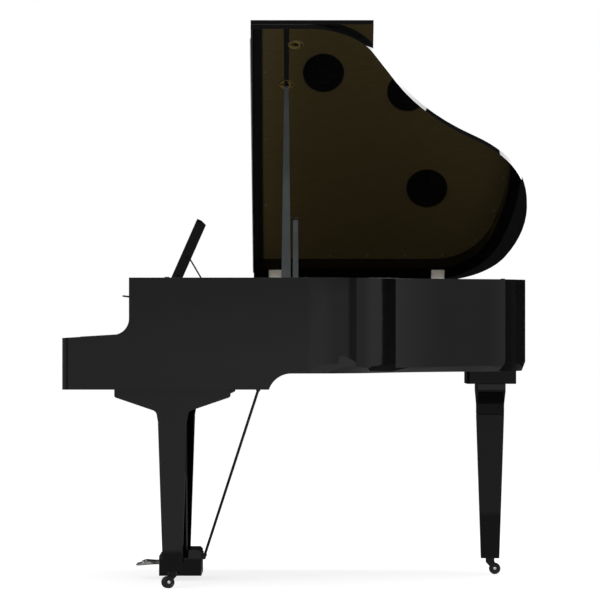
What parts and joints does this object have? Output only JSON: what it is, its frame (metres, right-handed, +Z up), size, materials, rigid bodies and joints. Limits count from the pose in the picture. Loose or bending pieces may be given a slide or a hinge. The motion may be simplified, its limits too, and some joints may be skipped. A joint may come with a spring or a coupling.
{
  "type": "digital grand piano",
  "caption": "Baby grand piano case with hinged lid on props, music desk, fallboard, weighted keys, speakers under a golden panel, pedal lyre and legs on casters.",
  "frame": {"origin": "on the floor below the middle of the case, midway between its sides", "axes": "+Z up, the player sits on the -Y side and the tail points to +Y, +X is the treble side"},
  "size_m": [1.5106, 1.5471, 1.8504],
  "materials": {
    "polished_black": "polished black lacquer",
    "dark_board": "matt dark board",
    "plain_wood": "plain wood",
    "golden_panel": "satin golden lacquer",
    "grille_black": "matt black",
    "speaker_black": "matt black",
    "brass": "polished",
    "nickel": "satin nickel",
    "pedal_metal": "polished",
    "prop_lacquer": "polished dark lacquer",
    "rubber": "matt",
    "red_felt": "felt",
    "natural_keys": "smooth ivory white",
    "sharp_keys": "satin black",
    "caster_metal": "gloss black paint",
    "caster_wheel": "matt",
    "steel_wire": "satin black paint",
    "black_fitting": "satin black",
    "screen": "smooth dark glass",
    "circuit": "satin green",
    "black_box": "satin black",
    "black_steel": "gloss black paint",
    "control_plastic": "satin dark grey",
    "button_metal": "satin"
  },
  "bodies": {
    "case": {"rim": "polished_black", "inner_rim": "plain_wood", "keybed": "dark_board", "belly_rail": "dark_board", "bottom_board": "dark_board", "cross_rail": "dark_board", "sound_panel": "golden_panel", "speaker_grilles": "grille_black", "speaker_drivers": "speaker_black", "panel_screws": "brass", "rim_hinges": "nickel", "lid_buttons": "rubber", "prop_bracket": "brass", "desk_shelf": "polished_black", "desk_bearings": "black_fitting", "front_board": "polished_black", "key_felt": "red_felt", "key_slip": "polished_black", "key_blocks": "polished_black", "display": "screen", "key_frame": "plain_wood", "electronics": "circuit", "jack_box": "black_box", "mains_inlet": "black_box", "leg_bass": "polished_black", "leg_treble": "polished_black", "leg_tail": "polished_black", "tail_block": "polished_black", "lyre_posts": "polished_black", "lyre_box": "polished_black", "lyre_stays": "black_steel"},
    "lid": {"main_lid": "polished_black", "lid_hinges": "nickel", "prop_cups": "brass"},
    "lid_front": {"front_lid": "polished_black", "fold_knuckles": "nickel"},
    "prop_long": {"long_prop": "prop_lacquer"},
    "prop_short": {"short_prop": "prop_lacquer"},
    "desk": {"music_desk": "polished_black"},
    "strut": {"desk_strut": "steel_wire"},
    "fallboard": {"fallboard": "polished_black"},
    "naturals_bass": {"naturals_bass": "natural_keys"},
    "naturals_tenor": {"naturals_tenor": "natural_keys"},
    "naturals_middle": {"naturals_middle": "natural_keys"},
    "naturals_treble": {"naturals_treble": "natural_keys"},
    "sharps_bass": {"sharps_bass": "sharp_keys"},
    "sharps_tenor": {"sharps_tenor": "sharp_keys"},
    "sharps_middle": {"sharps_middle": "sharp_keys"},
    "sharps_treble": {"sharps_treble": "sharp_keys"},
    "volume_dial": {"volume_dial": "control_plastic"},
    "power_button": {"power_button": "button_metal"},
    "pedal_soft": {"pedal_soft": "pedal_metal"},
    "pedal_middle": {"pedal_middle": "pedal_metal"},
    "pedal_sustain": {"pedal_sustain": "pedal_metal"},
    "fork_bass": {"caster_fork_bass": "caster_metal"},
    "wheel_bass": {"caster_wheel_bass": "caster_wheel"},
    "fork_treble": {"caster_fork_treble": "caster_metal"},
    "wheel_treble": {"caster_wheel_treble": "caster_wheel"},
    "fork_tail": {"caster_fork_tail": "caster_metal"},
    "wheel_tail": {"caster_wheel_tail": "caster_wheel"}
  },
  "joints": [
    {"name": "lid_raise", "type": "hinge", "parent": "case", "child": "lid", "pos_m": [-0.7485, 0, 1.0075], "axis": [0, -1, 0], "range_deg": [0, 20]},
    {"name": "front_lid_fold", "type": "hinge", "parent": "lid", "child": "lid_front", "pos_m": [-0.12906, -0.162, 1.42811], "axis": [0.8415, 0, 0.5402], "range_deg": [0, 180]},
    {"name": "long_prop_fold", "type": "hinge", "parent": "case", "child": "prop_long", "pos_m": [0.68, -0.045, 0.965], "axis": [0, -1, 0], "range_deg": [0, 57.92]},
    {"name": "short_prop_fold", "type": "hinge", "parent": "case", "child": "prop_short", "pos_m": [0.68, -0.0144, 0.965], "axis": [0, -1, 0], "range_deg": [0, 57.92]},
    {"name": "desk_fold", "type": "hinge", "parent": "case", "child": "desk", "pos_m": [0, -0.431, 0.972], "axis": [-1, 0, 0], "range_deg": [0, 66.1]},
    {"name": "strut_swing", "type": "hinge", "parent": "desk", "child": "strut", "pos_m": [0, -0.37187, 1.07705], "axis": [-1, 0, 0], "range_deg": [-126.31, 0]},
    {"name": "fallboard_close", "type": "hinge", "parent": "case", "child": "fallboard", "pos_m": [0, -0.552, 0.769], "axis": [1, 0, 0], "range_deg": [0, 90]},
    {"name": "naturals_bass_press", "type": "hinge", "parent": "case", "child": "naturals_bass", "pos_m": [0, -0.49, 0.7277], "axis": [1, 0, 0], "range_deg": [0, 2.45], "stiffness_Nm_per_rad": 20, "springref_deg": -6.88},
    {"name": "naturals_tenor_press", "type": "hinge", "parent": "case", "child": "naturals_tenor", "pos_m": [0, -0.49, 0.7277], "axis": [1, 0, 0], "range_deg": [0, 2.45], "stiffness_Nm_per_rad": 20, "springref_deg": -6.88},
    {"name": "naturals_middle_press", "type": "hinge", "parent": "case", "child": "naturals_middle", "pos_m": [0, -0.49, 0.7277], "axis": [1, 0, 0], "range_deg": [0, 2.45], "stiffness_Nm_per_rad": 20, "springref_deg": -6.88},
    {"name": "naturals_treble_press", "type": "hinge", "parent": "case", "child": "naturals_treble", "pos_m": [0, -0.49, 0.7277], "axis": [1, 0, 0], "range_deg": [0, 2.45], "stiffness_Nm_per_rad": 20, "springref_deg": -6.88},
    {"name": "sharps_bass_press", "type": "hinge", "parent": "case", "child": "sharps_bass", "pos_m": [0, -0.49, 0.7277], "axis": [1, 0, 0], "range_deg": [0, 2.45], "stiffness_Nm_per_rad": 20, "springref_deg": -6.88},
    {"name": "sharps_tenor_press", "type": "hinge", "parent": "case", "child": "sharps_tenor", "pos_m": [0, -0.49, 0.7277], "axis": [1, 0, 0], "range_deg": [0, 2.45], "stiffness_Nm_per_rad": 20, "springref_deg": -6.88},
    {"name": "sharps_middle_press", "type": "hinge", "parent": "case", "child": "sharps_middle", "pos_m": [0, -0.49, 0.7277], "axis": [1, 0, 0], "range_deg": [0, 2.45], "stiffness_Nm_per_rad": 20, "springref_deg": -6.88},
    {"name": "sharps_treble_press", "type": "hinge", "parent": "case", "child": "sharps_treble", "pos_m": [0, -0.49, 0.7277], "axis": [1, 0, 0], "range_deg": [0, 2.45], "stiffness_Nm_per_rad": 20, "springref_deg": -6.88},
    {"name": "volume_turn", "type": "hinge", "parent": "case", "child": "volume_dial", "pos_m": [-0.6585, -0.688, 0.764], "axis": [0, 0, 1], "range_deg": [-140, 140]},
    {"name": "power_press", "type": "slide", "parent": "case", "child": "power_button", "axis": [0, 0, -1], "range_m": [0, 0.0012], "stiffness_N_per_m": 400, "springref_m": -0.003},
    {"name": "pedal_soft_press", "type": "hinge", "parent": "case", "child": "pedal_soft", "pos_m": [-0.072, -0.379, 0.055], "axis": [1, 0, 0], "range_deg": [0, 4.33], "stiffness_Nm_per_rad": 30, "springref_deg": -8.59},
    {"name": "pedal_middle_press", "type": "hinge", "parent": "case", "child": "pedal_middle", "pos_m": [0, -0.379, 0.055], "axis": [1, 0, 0], "range_deg": [0, 4.33], "stiffness_Nm_per_rad": 30, "springref_deg": -8.59},
    {"name": "pedal_sustain_press", "type": "hinge", "parent": "case", "child": "pedal_sustain", "pos_m": [0.072, -0.379, 0.055], "axis": [1, 0, 0], "range_deg": [0, 4.33], "stiffness_Nm_per_rad": 30, "springref_deg": -8.59},
    {"name": "caster_bass_swivel", "type": "hinge", "parent": "case", "child": "fork_bass", "pos_m": [-0.6645, -0.413, 0.055], "axis": [0, 0, 1], "continuous": true},
    {"name": "caster_bass_roll", "type": "hinge", "parent": "fork_bass", "child": "wheel_bass", "pos_m": [-0.66997, -0.42803, 0.0195], "axis": [0.9397, -0.342, 0], "continuous": true},
    {"name": "caster_treble_swivel", "type": "hinge", "parent": "case", "child": "fork_treble", "pos_m": [0.6645, -0.413, 0.055], "axis": [0, 0, 1], "continuous": true},
    {"name": "caster_treble_roll", "type": "hinge", "parent": "fork_treble", "child": "wheel_treble", "pos_m": [0.66997, -0.42803, 0.0195], "axis": [0.9397, 0.342, 0], "continuous": true},
    {"name": "caster_tail_swivel", "type": "hinge", "parent": "case", "child": "fork_tail", "pos_m": [-0.30898, 0.64996, 0.055], "axis": [0, 0, 1], "continuous": true},
    {"name": "caster_tail_roll", "type": "hinge", "parent": "fork_tail", "child": "wheel_tail", "pos_m": [-0.30898, 0.66596, 0.0195], "axis": [-1, 0, 0], "continuous": true}
  ],
  "couplings": [
    {"joint": "strut_swing", "follows": "desk_fold", "ratio": -1.9033}
  ]
}
